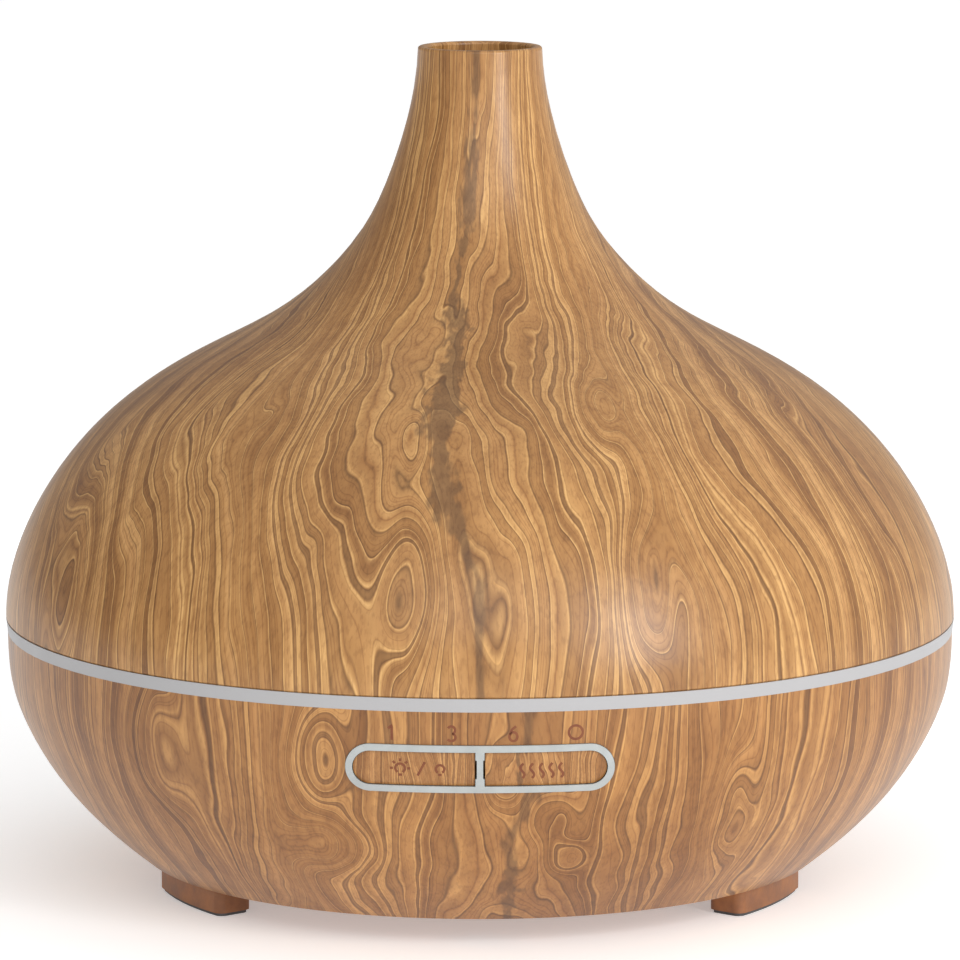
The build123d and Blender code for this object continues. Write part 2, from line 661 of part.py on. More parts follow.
chips = [block((9, 4, 1.6), (8, -38), DRIVER_TOP), block((5, 4, 1.4), (-8, -36), DRIVER_TOP)]
group(chips, "control_chips")
capacitors = [washer(4, 0, DRIVER_TOP, 17.0, (31, -28)), washer(3.2, 0, DRIVER_TOP, 16.2, (22, -36))]
group(capacitors, "board_capacitors")
with BuildPart() as power_inductor:
    add(washer(5.0, 0, DRIVER_TOP, DRIVER_TOP + 1.0, (-38, -20)))
    add(washer(3.4, 0, DRIVER_TOP, DRIVER_TOP + 5.5, (-38, -20)))
    add(washer(4.4, 0, DRIVER_TOP + 1.0, DRIVER_TOP + 4.5, (-38, -20)))
    add(washer(5.0, 0, DRIVER_TOP + 4.5, DRIVER_TOP + 5.5, (-38, -20)))
save(power_inductor.part, "power_inductor")
save(block((10, 3.2, 6.6), (35, -7.4), DRIVER_TOP, 0.3), "power_transistor")
with BuildPart() as heat_sink:
    add(block((12, 1.4, 7.0), (35, -5.1), DRIVER_TOP, 0.2))
    for step in range(4):
        add(block((1.0, 3.0, 7.0), (30.5 + 3 * step, -3.2), DRIVER_TOP, 0.2))
save(heat_sink.part, "heat_sink")

CONNECTORS = {
    "piezo": (24, -12),
    "fan": (-24, -4),
    "button": (-18, -41),
    "led": (-31, -33),
    "jack": (-36, -4),
}
group([block((6, 4, 4), place, DRIVER_TOP, 0.3) for place in CONNECTORS.values()], "board_connectors")

# ---------------------------------------------------------------- power inlet
with BuildPart() as dc_jack:
    add(block((9.0, 14.0, 8.0), (0, JACK_FRONT - 7.0), FLOOR_INSIDE, 0.6))
    add(across(3.1, 0, PIN_ROOT - 0.2, JACK_FRONT, (0, JACK_HEIGHT)), mode=Mode.SUBTRACT)
    add(across(PIN_ROOT_RADIUS, 0, PIN_BACK, JACK_FRONT, (0, JACK_HEIGHT)), mode=Mode.SUBTRACT)
save(dc_jack.part, "dc_jack")
with BuildPart() as jack_pin:
    add(across(PIN_RADIUS, 0, PIN_ROOT, JACK_FRONT - 0.6, (0, JACK_HEIGHT)))
    fillet(jack_pin.edges().group_by(Axis.Y)[-1], 0.4)
    add(across(PIN_ROOT_RADIUS, 0, PIN_BACK, PIN_ROOT, (0, JACK_HEIGHT)))
save(jack_pin.part, "jack_pin")


# ---------------------------------------------------------------- leads
def lead(points, name):
    """A round lead along straight runs joined by the largest arcs that they allow."""
    runs = [Vector(b) - Vector(a) for a, b in zip(points, points[1:])]
    radii = []
    for before, after in zip(runs, runs[1:]):
        half_turn = radians(before.get_angle(after)) / 2
        radii.append(0.45 * min(before.length, after.length) * cos(half_turn) / sin(half_turn))
    with BuildPart() as cable:
        with BuildLine():
            route = FilletPolyline(*points, radius=radii)
        with BuildSketch(Plane(origin=route @ 0, z_dir=route % 0)):
            Circle(LEAD)
        sweep(path=route)
    save(cable.part, name)


CLIP = DRIVER_TOP + 1.3  # height at which the leads enter their connectors
lead(
    [(3, DISC_Y, DISC_LOW), (3, DISC_Y, 11.2), (9, -13.2, 11.15), (16, -12, CLIP), (21, -12, CLIP)],
    "piezo_lead",
)
lead([(-20, 14, 10.5), (-23, 14, 10.5), (-24.4, 9, 11.4), (-24, 3.5, CLIP), (-24, -2, CLIP)], "fan_lead")
lead(
    [
        (-15, board_back - 0.6, 29.4),
        (-15, board_back - 0.6, 26),
        (-15.2, -66, 17.5),
        (-17, -57, 12.8),
        (-18, -51, CLIP),
        (-18, -43, CLIP),
    ],
    "button_lead",
)
lead(
    [
        (-49.9, -59.4, LED_BOARD),
        (-49.9, -59.4, 38),
        (-46.5, -55.5, 25),
        (-39.5, -49, 15),
        (-31.5, -43, CLIP),
        (-31, -40, CLIP),
        (-31, -35, CLIP),
    ],
    "led_lead",
)
lead(
    [
        (-4.5, 52, 12),
        (-12, 52, 12.2),
        (-24, 49, 12.2),
        (-33, 40, 12.2),
        (-38, 27, 12.2),
        (-36.2, 12, CLIP),
        (-36, 5, CLIP),
        (-36, -2, CLIP),
    ],
    "jack_lead",
)
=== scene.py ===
"""Looks for the oil diffuser: wood-grain film on plastic, a frosted rim, grey trim and inked marks.

Blender's own lengths are in metres, and lengths that a comment gives in mm are turned to metres
where they are used. +Z is up, the buttons face -Y, and turns are counted from there towards +X.
"""
from math import acos, cos, radians, sin

import bmesh
import bpy
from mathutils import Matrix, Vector


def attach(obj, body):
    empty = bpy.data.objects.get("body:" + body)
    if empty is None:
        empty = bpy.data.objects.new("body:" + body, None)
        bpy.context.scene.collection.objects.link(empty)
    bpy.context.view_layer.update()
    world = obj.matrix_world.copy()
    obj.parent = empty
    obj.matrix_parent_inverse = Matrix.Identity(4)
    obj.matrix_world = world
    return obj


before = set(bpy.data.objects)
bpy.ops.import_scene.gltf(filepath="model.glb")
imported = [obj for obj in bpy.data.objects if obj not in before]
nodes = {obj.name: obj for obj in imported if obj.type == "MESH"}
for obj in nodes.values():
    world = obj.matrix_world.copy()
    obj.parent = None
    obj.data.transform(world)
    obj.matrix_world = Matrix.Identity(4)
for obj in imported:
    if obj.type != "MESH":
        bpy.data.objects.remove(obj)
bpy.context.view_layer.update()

MM = 0.001
SEAM = 47.5  # mm, top of the tank's rim, where the cover sits
GIRTH = 84.0  # mm, radius of the body at the seam
RIM_DEPTH = 0.9  # mm, how far in from the girth the tank's rim is painted greyer, as shade from the board behind it

# The wood figure, in mm and in rings. "Along" is the height over the seam, up the surface
GATHER = 0.55  # how well grain keeps its width as the body narrows: 0 keeps every ring, 1 the width
SLOPE_SHARE = 0.5  # share of the fall in radius that counts as height along the surface
BEND_FROM, BEND_TO = 12.0, 52.0  # mm along, between which the bend of the heart runs out
RING_PITCH = 5.0  # mm from ring to ring
HEART_RING = 0.6  # the ring that the heart lies on
BLUNTNESS = 0.996  # rounds the crease where the two sides meet at the heart: 1 leaves it sharp
WANDER = ((24, 120, 3.0), (9, 40, 1.15), (3.4, 13, 0.3))  # width and height, mm; strength, rings
SEED_STEP = 7.3  # mm, from one cloud's place in the noise towards the next one's
EYE_RIM = 1.5  # 1 makes an eye a round hill, and more makes its top flat and its rim steep
LATE_LINES, FIRST_LINE = 2.0, 0.37  # late lines to a ring, and where they start
HEART_SWAY, HEART_BEADS = 9.0, 5.5  # mm, how far the dark heart sways, and how deep it is notched
HEART_CORE, HEART_EDGE = 0.5, 2.2  # mm from its middle, where it starts to fade and where it ends
HEART_DEPTH = 0.66  # how much of the dark colour covers the grain there
FORK_HEIGHT, FORK_REACH = 57.0, 15.0  # mm along, where two branches meet, and the swell's reach
FORK_SWELL = 2.4  # mm, by which each side of the heart is wider there
FILM_TURN_IN = 138.0  # mm high, down to which the film laps over the edge into the mouth
BARE_LEAN = -0.02  # below this lean away from the axis, a face is inside, and bare


# ---------------------------------------------------------------- material tools
def paint(code):
    """An sRGB hex colour as the linear RGBA that shaders take."""
    values = [int(code[i : i + 2], 16) / 255 for i in (1, 3, 5)]
    return [c / 12.92 if c <= 0.04045 else ((c + 0.055) / 1.055) ** 2.4 for c in values] + [1.0]


def add(tree, kind, inputs=None, **settings):
    """Adds one shader node, sets its properties, and fills its inputs with values or links."""
    node = tree.nodes.new("ShaderNode" + kind)
    for name, value in settings.items():
        setattr(node, name, value)
    for name, value in (inputs or {}).items():
        if isinstance(value, bpy.types.NodeSocket):
            tree.links.new(value, node.inputs[name])
        else:
            node.inputs[name].default_value = value
    return node


def stops(ramp, marks):
    """Sets a colour ramp's stops from (place, hex colour) pairs."""
    elements = ramp.color_ramp.elements
    while len(elements) < len(marks):
        elements.new(0.5)
    for element, (place, _) in zip(elements, marks):
        element.position = place
    for element, (_, code) in zip(elements, marks):
        element.color = paint(code)
    return ramp.outputs["Color"]


def finish_of(name, **shader):
    """A new material with a Principled shader whose sockets are set by name.

    Returns the material, its tree and the shader.
    """
    material = bpy.data.materials.new(name)
    material.use_nodes = True
    tree = material.node_tree
    tree.nodes.clear()
    bsdf = add(tree, "BsdfPrincipled", shader)
    add(tree, "OutputMaterial", {"Surface": bsdf.outputs["BSDF"]})
    return material, tree, bsdf


def wood_print(name, direction, heart_turn, bend, seed, eyes, scale=1.0, stain="#FFFFFF"):
    """Wood-grain film on moulded polypropylene, sealed with a satin lacquer.

    The figure is a contour map of one height, counted in growth rings: it climbs away from the
    heart of the board on both sides, is clouded by noise drawn out along the grain, and has a
    hollow or hill at each eye. Colour follows the rings, so each pale late line has its brown
    shadow beside it. Inside, the bare brown plastic shows.

    direction is 1 on the cover and -1 on the case, where the grain runs in below. heart_turn is
    where the heart runs, and bend how much further it is turned at the seam, in degrees. An eye is
    (distance round, height along, half width, half height, rings), in mm.
    """
    material, tree, bsdf = finish_of(name, Roughness=0.34, IOR=1.5)

    # Where a point lies on the board: around and along it, in mm
    coordinates = add(tree, "TexCoord").outputs
    in_mm = add(tree, "VectorMath", {0: coordinates["Object"], "Scale": 1 / MM}, operation="SCALE")
    axes = add(tree, "SeparateXYZ", {"Vector": in_mm.outputs["Vector"]}).outputs
    x, y, z = axes["X"], axes["Y"], axes["Z"]
    flat = add(tree, "CombineXYZ", {"X": x, "Y": y}).outputs["Vector"]
    radius = add(tree, "VectorMath", {0: flat}, operation="LENGTH").outputs["Value"]
    share = add(tree, "Math", {0: radius, 1: GIRTH}, operation="DIVIDE").outputs[0]
    gathered = add(tree, "Math", {0: share, 1: GATHER - 1.0}, operation="POWER").outputs[0]
    rolled = add(tree, "VectorMath", {0: flat, "Scale": gathered}, operation="SCALE")
    rolled_axes = add(tree, "SeparateXYZ", {"Vector": rolled.outputs["Vector"]}).outputs
    inset = add(tree, "Math", {0: GIRTH, 1: radius}, operation="SUBTRACT").outputs[0]
    above = add(tree, "Math", {0: z, 1: SEAM}, operation="SUBTRACT").outputs[0]
    along = add(
        tree, "Math", {0: inset, 1: SLOPE_SHARE * direction, 2: above}, operation="MULTIPLY_ADD"
    ).outputs[0]
    facing = add(tree, "Math", {0: y, 1: -1.0}, operation="MULTIPLY").outputs[0]
    turn = add(tree, "Math", {0: x, 1: facing}, operation="ARCTAN2").outputs[0]
    girth_here = add(tree, "Math", {0: gathered, 1: radius}, operation="MULTIPLY").outputs[0]
    around = add(tree, "Math", {0: turn, 1: girth_here}, operation="MULTIPLY").outputs[0]
    board = add(tree, "CombineXYZ", {"X": around, "Y": along}).outputs["Vector"]

    def cloud(width, height, detail=0.0):
        """Noise in soft patches of that width and height in mm, each call in another place."""
        nonlocal seed
        seed += SEED_STEP
        drawn_out = add(tree, "Math", {0: along, 1: width / height}, operation="MULTIPLY")
        spot = {"X": rolled_axes["X"], "Y": rolled_axes["Y"], "Z": drawn_out.outputs[0]}
        spot = add(tree, "CombineXYZ", spot).outputs["Vector"]
        moved = add(tree, "VectorMath", {0: spot, 1: (seed, -2 * seed, 5 * seed)}, operation="ADD")
        noise = {"Vector": moved.outputs["Vector"], "Scale": 1 / width, "Detail": detail}
        return add(tree, "TexNoise", noise).outputs["Fac"]

    # The count of rings: up from the heart on both sides, then the wander, then the eyes
    bent = add(
        tree,
        "MapRange",
        {
            "Value": along,
            "From Min": BEND_FROM,
            "From Max": BEND_TO,
            "To Min": radians(bend),
            "To Max": 0.0,
        },
        interpolation_type="SMOOTHSTEP",
    ).outputs["Result"]
    turned = add(tree, "Math", {0: turn, 1: radians(heart_turn)}, operation="SUBTRACT").outputs[0]
    turned = add(tree, "Math", {0: turned, 1: bent}, operation="SUBTRACT").outputs[0]
    swing = add(tree, "Math", {0: turned}, operation="COSINE").outputs[0]
    blunt = add(tree, "Math", {0: swing, 1: BLUNTNESS}, operation="MULTIPLY").outputs[0]
    away = add(tree, "Math", {0: blunt}, operation="ARCCOSINE").outputs[0]
    climbed = add(tree, "Math", {0: away, 1: acos(BLUNTNESS)}, operation="SUBTRACT").outputs[0]
    climbed = add(tree, "Math", {0: climbed, 1: girth_here}, operation="MULTIPLY").outputs[0]
    rings = add(
        tree,
        "Math",
        {0: climbed, 1: 1 / (RING_PITCH * scale), 2: HEART_RING},
        operation="MULTIPLY_ADD",
    ).outputs[0]
    for width, height, strength in WANDER:
        noise = cloud(width * scale, height * scale)
        centred = add(tree, "Math", {0: noise, 1: 0.5}, operation="SUBTRACT").outputs[0]
        rings = add(
            tree, "Math", {0: centred, 1: strength, 2: rings}, operation="MULTIPLY_ADD"
        ).outputs[0]
    for eye_around, eye_along, half_width, half_height, depth in eyes:
        middle, stretch = (eye_around, eye_along, 0), (1 / half_width, 1 / half_height, 0)
        offset = add(tree, "VectorMath", {0: board, 1: middle}, operation="SUBTRACT")
        offset = offset.outputs["Vector"]
        shaped = add(tree, "VectorMath", {0: offset, 1: stretch}, operation="MULTIPLY")
        shaped = shaped.outputs["Vector"]
        apart = add(tree, "VectorMath", {0: shaped, 1: shaped}, operation="DOT_PRODUCT")
        apart = apart.outputs["Value"]
        # A flat top and a steep rim, so that the rings crowd at the rim
        apart = add(tree, "Math", {0: apart, 1: EYE_RIM}, operation="POWER").outputs[0]
        sunk = add(tree, "Math", {0: apart, 1: -1.0}, operation="MULTIPLY").outputs[0]
        bump = add(tree, "Math", {0: sunk}, operation="EXPONENT").outputs[0]
        rings = add(
            tree, "Math", {0: bump, 1: depth, 2: rings}, operation="MULTIPLY_ADD"
        ).outputs[0]

    def across(rate, shift, detail, marks):
        """A wave that runs so many times to a ring, from that shift, coloured by a ramp."""
        count = add(tree, "Math", {0: rings, 1: rate, 2: shift}, operation="MULTIPLY_ADD")
        wave = {"W": count.outputs[0], "Scale": 1.0, "Detail": detail, "Roughness": 0.6}
        wave = add(tree, "TexNoise", wave, noise_dimensions="1D").outputs["Fac"]
        return stops(add(tree, "ValToRGB", {"Fac": wave}), marks)

    early = ((0.3, "#9A6C3C"), (0.44, "#B0814C"), (0.56, "#BF8F58"), (0.7, "#D0A068"))
    grain = across(0.8, 3.3, 2.0, early)
    # The shadow and the pale line come from the same wave, so they always lie side by side
    shadow = ((0.34, "#000000"), (0.44, "#808080"), (0.48, "#E8E8E8"), (0.503, "#000000"))
    shadow = across(LATE_LINES, FIRST_LINE, 0.0, shadow)
    pale = ((0.492, "#000000"), (0.516, "#FAFAFA"), (0.56, "#989898"), (0.64, "#000000"))
    pale = across(LATE_LINES, FIRST_LINE, 0.0, pale)
    thin = ((0.42, "#FFFFFF"), (0.48, "#A88E74"), (0.5, "#E8DCCC"), (0.56, "#FFFFFF"))
    thin = across(5.3, 9.1, 0.0, thin)

    # The dark heart, a few millimetres wide, which sways and breaks up into beads
    sway = cloud(7 * scale, 22 * scale)
    sway = add(tree, "Math", {0: sway, 1: 0.5}, operation="SUBTRACT").outputs[0]
    off_heart = add(tree, "Math", {0: turned, 1: girth_here}, operation="MULTIPLY").outputs[0]
    off_heart = add(
        tree, "Math", {0: sway, 1: HEART_SWAY * scale, 2: off_heart}, operation="MULTIPLY_ADD"
    ).outputs[0]
    off_heart = add(tree, "Math", {0: off_heart}, operation="ABSOLUTE").outputs[0]
    beads = cloud(1.5 * scale, 9 * scale, 1.0)
    beads = add(tree, "Math", {0: beads, 1: 0.5}, operation="SUBTRACT").outputs[0]
    off_heart = add(
        tree, "Math", {0: beads, 1: HEART_BEADS * scale, 2: off_heart}, operation="MULTIPLY_ADD"
    ).outputs[0]
    # It swells where its two branches meet, over the dome's shoulder
    from_fork = add(tree, "Math", {0: along, 1: FORK_HEIGHT}, operation="SUBTRACT").outputs[0]
    from_fork = add(tree, "Math", {0: from_fork, 1: FORK_REACH}, operation="DIVIDE").outputs[0]
    from_fork = add(tree, "Math", {0: from_fork, 1: from_fork}, operation="MULTIPLY").outputs[0]
    swell = add(tree, "Math", {0: from_fork, 1: -1.0}, operation="MULTIPLY").outputs[0]
    swell = add(tree, "Math", {0: swell}, operation="EXPONENT").outputs[0]
    off_heart = add(
        tree, "Math", {0: swell, 1: -FORK_SWELL * scale, 2: off_heart}, operation="MULTIPLY_ADD"
    ).outputs[0]
    heart = add(
        tree,
        "MapRange",
        {
            "Value": off_heart,
            "From Min": HEART_CORE * scale,
            "From Max": HEART_EDGE * scale,
            "To Min": HEART_DEPTH,
            "To Max": 0.0,
        },
        interpolation_type="SMOOTHSTEP",
    ).outputs["Result"]

    # Pores, drawn coarser than the real 0.1 mm so that they show, then mottle and broad clouds
    pores = add(tree, "ValToRGB", {"Fac": cloud(0.5 * scale, 2.2 * scale, 2.0)})
    pores = stops(pores, ((0.36, "#A8917C"), (0.5, "#FFFFFF")))
    mottle = add(tree, "ValToRGB", {"Fac": cloud(2.2 * scale, 7 * scale, 2.0)})
    mottle = stops(mottle, ((0.3, "#D8CDC2"), (0.65, "#FFFFFF")))
    broad = add(tree, "ValToRGB", {"Fac": cloud(26, 60, 1.0)})
    broad = stops(broad, ((0.32, "#CDBFB2"), (0.62, "#FFFFFF")))
    # The film covers only the outside: where the surface faces the axis, the moulding is bare
    outward = add(tree, "VectorMath", {0: coordinates["Normal"], 1: flat}, operation="DOT_PRODUCT")
    outward = outward.outputs["Value"]
    inside = add(tree, "Math", {0: outward, 1: BARE_LEAN}, operation="LESS_THAN").outputs[0]
    under_rim = add(tree, "Math", {0: z, 1: FILM_TURN_IN}, operation="LESS_THAN").outputs[0]
    bare = add(tree, "Math", {0: inside, 1: under_rim}, operation="MULTIPLY").outputs[0]

    # Each coat lies on the one before: its colour, where or how strongly it lies, and its blend
    coats = (
        (paint("#79552F"), shadow, "MIX"),
        (paint("#DFB174"), pale, "MIX"),
        (thin, 0.5, "MULTIPLY"),
        (paint("#6B4E33"), heart, "MIX"),
        (pores, 0.28, "MULTIPLY"),
        (mottle, 0.6, "MULTIPLY"),
        (broad, 0.6, "MULTIPLY"),
        (paint(stain), 1.0, "MULTIPLY"),
        (paint("#9A6C45"), bare, "MIX"),
    )
    for colour, where, blend in coats:
        laid = {"Factor": where, 6: grain, 7: colour}
        grain = add(tree, "Mix", laid, data_type="RGBA", blend_type=blend).outputs[2]
    tree.links.new(grain, bsdf.inputs["Base Color"])
    return material


# Placed one by one. Each is (distance round, height along, half width, half height, rings)
cover_eyes = (
    (-12.0, 20.5, 5.0, 15.0, 1.9),
    (28.6, 18.7, 5.0, 14.0, 1.8),
    (24.0, 60.0, 4.5, 11.0, 1.6),
    (-12.5, 51.0, 3.0, 7.0, 1.2),
    (-84.0, 15.0, 8.0, 24.0, 2.2),
)
case_eyes = (
    (4.0, -15.0, 3.2, 6.0, -1.4),
    (12.0, -24.0, 4.0, 7.0, 1.6),
    (14.5, -34.0, 4.0, 5.0, 1.3),
    (-28.0, -12.0, 5.0, 9.0, -1.7),
    (-27.0, -32.0, 8.0, 7.0, 1.8),
    (45.0, -26.0, 5.0, 14.0, 1.4),
    (-62.0, -14.0, 7.0, 14.0, -1.8),
)
wood_cover = wood_print("wood_print_cover", 1, -7.0, 7.0, 3.0, cover_eyes, stain="#FAF8F1")
wood_case = wood_print("wood_print_case", -1, 4.5, 0.0, 211.0, case_eyes, stain="#EBDFCD")
# The caps wear a finer figure, a third of the size
wood_caps = wood_print("wood_print_caps", -1, 4.5, 0.0, 83.0, (), 0.32, "#F3EAE0")


def moulded(name, low, high, patch, grit, roughness, relief, **shader):
    """A surface that is clouded between two close colours, with a fine relief.

    patch is the width of the clouds and grit the grain of the relief, both in mm. roughness is
    (least, most) and follows the clouds. relief is the height of the grain in mm.
    """
    material, tree, bsdf = finish_of(name, **shader)
    place = add(tree, "TexCoord").outputs["Object"]
    clouds = {"Vector": place, "Scale": 1 / (patch * MM), "Detail": 3.0}
    clouds = add(tree, "TexNoise", clouds).outputs["Fac"]
    tone = stops(add(tree, "ValToRGB", {"Fac": clouds}), ((0.35, low), (0.65, high)))
    tree.links.new(tone, bsdf.inputs["Base Color"])
    least, most = roughness
    worn = {"Value": clouds, "From Min": 0.3, "From Max": 0.7, "To Min": least, "To Max": most}
    worn = add(tree, "MapRange", worn).outputs["Result"]
    tree.links.new(worn, bsdf.inputs["Roughness"])
    grains = {"Vector": place, "Scale": 1 / (grit * MM), "Detail": 2.0}
    grains = add(tree, "TexNoise", grains).outputs["Fac"]
    raised = add(tree, "Bump", {"Height": grains, "Strength": 1.0, "Distance": relief * MM})
    tree.links.new(raised.outputs["Normal"], bsdf.inputs["Normal"])
    return material


def paint_rim_shade(finish, code):
    """Paints shade on a moulded finish at the girth, where the tank's rim stands, as a greyer
    colour.
    """
    tree = finish.node_tree
    bowl_tone = tree.nodes["Color Ramp"].outputs["Color"]
    place = add(tree, "TexCoord").outputs["Object"]
    flat = add(tree, "VectorMath", {0: place, 1: (1, 1, 0)}, operation="MULTIPLY")
    from_axis = add(tree, "VectorMath", {0: flat.outputs["Vector"]}, operation="LENGTH")
    reach = {0: from_axis.outputs["Value"], 1: (GIRTH - RIM_DEPTH) * MM}
    at_rim = add(tree, "Math", reach, operation="GREATER_THAN").outputs[0]
    # Painted shade: the rim is drawn greyer than the bowl
    tones = {"Factor": at_rim, 6: bowl_tone, 7: paint(code)}
    rim_shaded = add(tree, "Mix", tones, data_type="RGBA").outputs[2]
    tree.links.new(rim_shaded, tree.nodes["Principled BSDF"].inputs["Base Color"])


# Frosted by a spark-eroded mould: even and milky, with a soft shine
tank_pp = moulded(
    "natural_polypropylene_tank", "#CCCCC9", "#D3D3D0", 8.0, 0.35, (0.38, 0.48), 0.006, IOR=1.49
)
# The rim is thick and has the dark light board behind it, so it looks greyer than the bowl: this
# grey is painted shade, not the plastic's own colour
paint_rim_shade(tank_pp, "#A8A7A8")
# The same plastic in a thin wall, so that some light comes through it
mist_pp = moulded(
    "natural_polypropylene_mist_cover", "#DFDFDC", "#E4E4E1", 14.0, 0.4, (0.4, 0.46), 0.006,
    **{"IOR": 1.49, "Transmission Weight": 0.2},
)
# The same plastic again: milky like the tank, a touch paler and shinier. Its colours hold painted
# shade: drawn a little greyer than the mist cover, since it stands in the tank's shade
duct_pp = moulded(
    "natural_polypropylene_duct", "#D2D2CF", "#DCDCD9", 5.0, 0.35, (0.36, 0.46), 0.006, IOR=1.49
)
# Painted matt grey after moulding, which evens out its shine
grey_abs = moulded(
    "painted_grey_abs_trim", "#A2A6A5", "#ABAFAE", 3.0, 0.25, (0.4, 0.48), 0.004, IOR=1.53
)
# Reddish brown, with the faint clouding and dull skin of a textured mould
brown_abs = moulded(
    "textured_brown_abs_base", "#835331", "#A0683D", 3.5, 0.45, (0.44, 0.58), 0.03, IOR=1.53
)
# A thin, dull, red-brown film, barely proud of the wood print
ink = moulded(
    "pad_printed_brown_ink", "#70391C", "#7C4526", 1.5, 0.12, (0.5, 0.62), 0.002, IOR=1.48
)
# Dull and dark, worn a little paler in patches
pad_rubber = moulded(
    "moulded_rubber_pads", "#4A4A4A", "#5A5959", 2.5, 0.3, (0.72, 0.86), 0.03, IOR=1.52
)
# Cloudy white with a waxy, uneven shine
silicone = moulded(
    "moulded_silicone_seal", "#CFCDC8", "#DDDBD6", 2.0, 0.3, (0.5, 0.66), 0.01, IOR=1.42
)
# Nickel-plated: cool grey, with soft smears in its shine
steel = moulded(
    "plated_steel", "#8F9092", "#A7A8AA", 1.2, 0.15, (0.24, 0.38), 0.004, Metallic=1.0
)
# Pressed powder fired without a glaze: chalky and cream-coloured
pzt = moulded(
    "fired_piezo_ceramic", "#B9AF96", "#C8BFA6", 1.5, 0.2, (0.6, 0.74), 0.008, IOR=1.6
)
# Glass-filled, so its black is greyish and half dull
black_pbt = moulded(
    "moulded_black_pbt", "#161617", "#222223", 3.0, 0.3, (0.42, 0.56), 0.012, IOR=1.55
)
# Warm white and slightly shiny
white_nylon = moulded(
    "moulded_white_nylon", "#DBD9D0", "#E7E5DD", 2.0, 0.25, (0.4, 0.54), 0.006, IOR=1.53
)
# Green mask that lies uneven over the copper, and shines like varnish
board_mask = moulded(
    "solder_mask_on_glass_epoxy", "#0F4A2A", "#1B6139", 1.8, 0.5, (0.26, 0.4), 0.02, IOR=1.55
)
# Cast phosphor resin: pale yellow while unlit, and smooth
led_resin = moulded(
    "yellowish_led_resin", "#E4D48E", "#EFE6BC", 1.0, 0.2, (0.22, 0.32), 0.003, IOR=1.5
)
# Drawn wire under clear enamel, which deepens its red. The grit stands for the turns of wire
copper = moulded(
    "enamelled_copper_wire", "#A2572E", "#BC6C3B", 0.7, 0.16, (0.26, 0.36), 0.02, Metallic=1.0
)
# Pressed from powder, so its brown-gold is broken by fine pores
bronze = moulded(
    "sintered_bronze", "#8C6A3A", "#A07E4A", 0.5, 0.1, (0.36, 0.5), 0.01, Metallic=1.0
)
# Ferrite powder in plastic: charcoal, with a dull mineral glint
ferrite = moulded(
    "bonded_ferrite_magnet", "#242426", "#303033", 0.8, 0.12, (0.56, 0.7), 0.008, IOR=2.3
)
# Drawn and left bare: bright grey, with a soft, uneven shine
aluminium = moulded(
    "drawn_aluminium", "#B0B2B4", "#C3C5C7", 1.6, 0.2, (0.28, 0.42), 0.006, Metallic=1.0
)
# Soft black insulation with a slight sheen
pvc = moulded(
    "extruded_black_pvc", "#1B1B1C", "#272728", 2.5, 0.3, (0.4, 0.52), 0.008, IOR=1.53
)

FINISHES = (
    (wood_cover, ("outer_cover",)),
    (wood_case, ("base_shell",)),
    (wood_caps, ("light_button", "mist_button")),
    (tank_pp, ("water_tank",)),
    (mist_pp, ("mist_cover",)),
    (duct_pp, ("air_duct",)),
    (grey_abs, ("button_frame",)),
    (brown_abs, ("bottom_cover",)),
    (pad_rubber, ("foot_pad_left", "foot_pad_right", "foot_pad_rear")),
    (silicone, ("disc_seal",)),
    (steel, ("disc_face", "fan_shaft", "jack_pin")),
    (steel, ("disc_screws", "case_screws", "button_board_screws", "fan_screws", "board_screws")),
    (pzt, ("piezo_ceramic",)),
    (black_pbt, ("disc_retainer", "light_switch", "mist_switch", "fan_frame", "fan_rotor")),
    (black_pbt, ("control_chips", "power_transistor", "dc_jack")),
    (white_nylon, ("light_switch_plunger", "mist_switch_plunger", "board_connectors")),
    (board_mask, ("button_board", "led_ring_board", "driver_board")),
    (led_resin, ("timer_leds", "ring_leds")),
    (copper, ("fan_stator", "power_inductor")),
    (bronze, ("fan_bearing",)),
    (ferrite, ("fan_magnet",)),
    (aluminium, ("board_capacitors", "heat_sink")),
    (pvc, ("piezo_lead", "fan_lead", "button_lead", "led_lead", "jack_lead")),
)
for finish, wearers in FINISHES:
    for wearer in wearers:
        nodes[wearer].data.materials[0] = finish

# ---------------------------------------------------------------- printed marks
STROKE = 0.42  # mm, width of a stroke
STEP = 0.25  # mm, between places along it
INK_DEPTH, SUNK = 0.02, 0.004  # mm, thickness of the ink, and how much of it lies in the surface
AHEAD = 95.0  # mm in front of the axis, from where the marks are aimed back at the body
TALL = 2.5  # mm, height of a timer mark
MARK_LOW = 40.4  # mm, its foot
TIMER_PLACES = (-14.65, -4.72, 5.5, 15.8)  # mm, across
CAP_MIDDLE = 35.3  # mm high


def arc(x, z, wide, tall, first, last, count=14):
    """Points on an ellipse, with angles counted from +X towards +Z."""
    steps = [radians(first + (last - first) * i / count) for i in range(count + 1)]
    return [(x + wide * cos(a), z + tall * sin(a)) for a in steps]


def stepped(line):
    """A line of (x, z) with places added so that none are further apart than about a step."""
    points = []
    for (x0, z0), (x1, z1) in zip(line, line[1:]):
        length = ((x1 - x0) ** 2 + (z1 - z0) ** 2) ** 0.5
        parts = max(1, round(length / STEP))
        for i in range(parts):
            points.append((x0 + (x1 - x0) * i / parts, z0 + (z1 - z0) * i / parts))
    return points + [line[-1]]


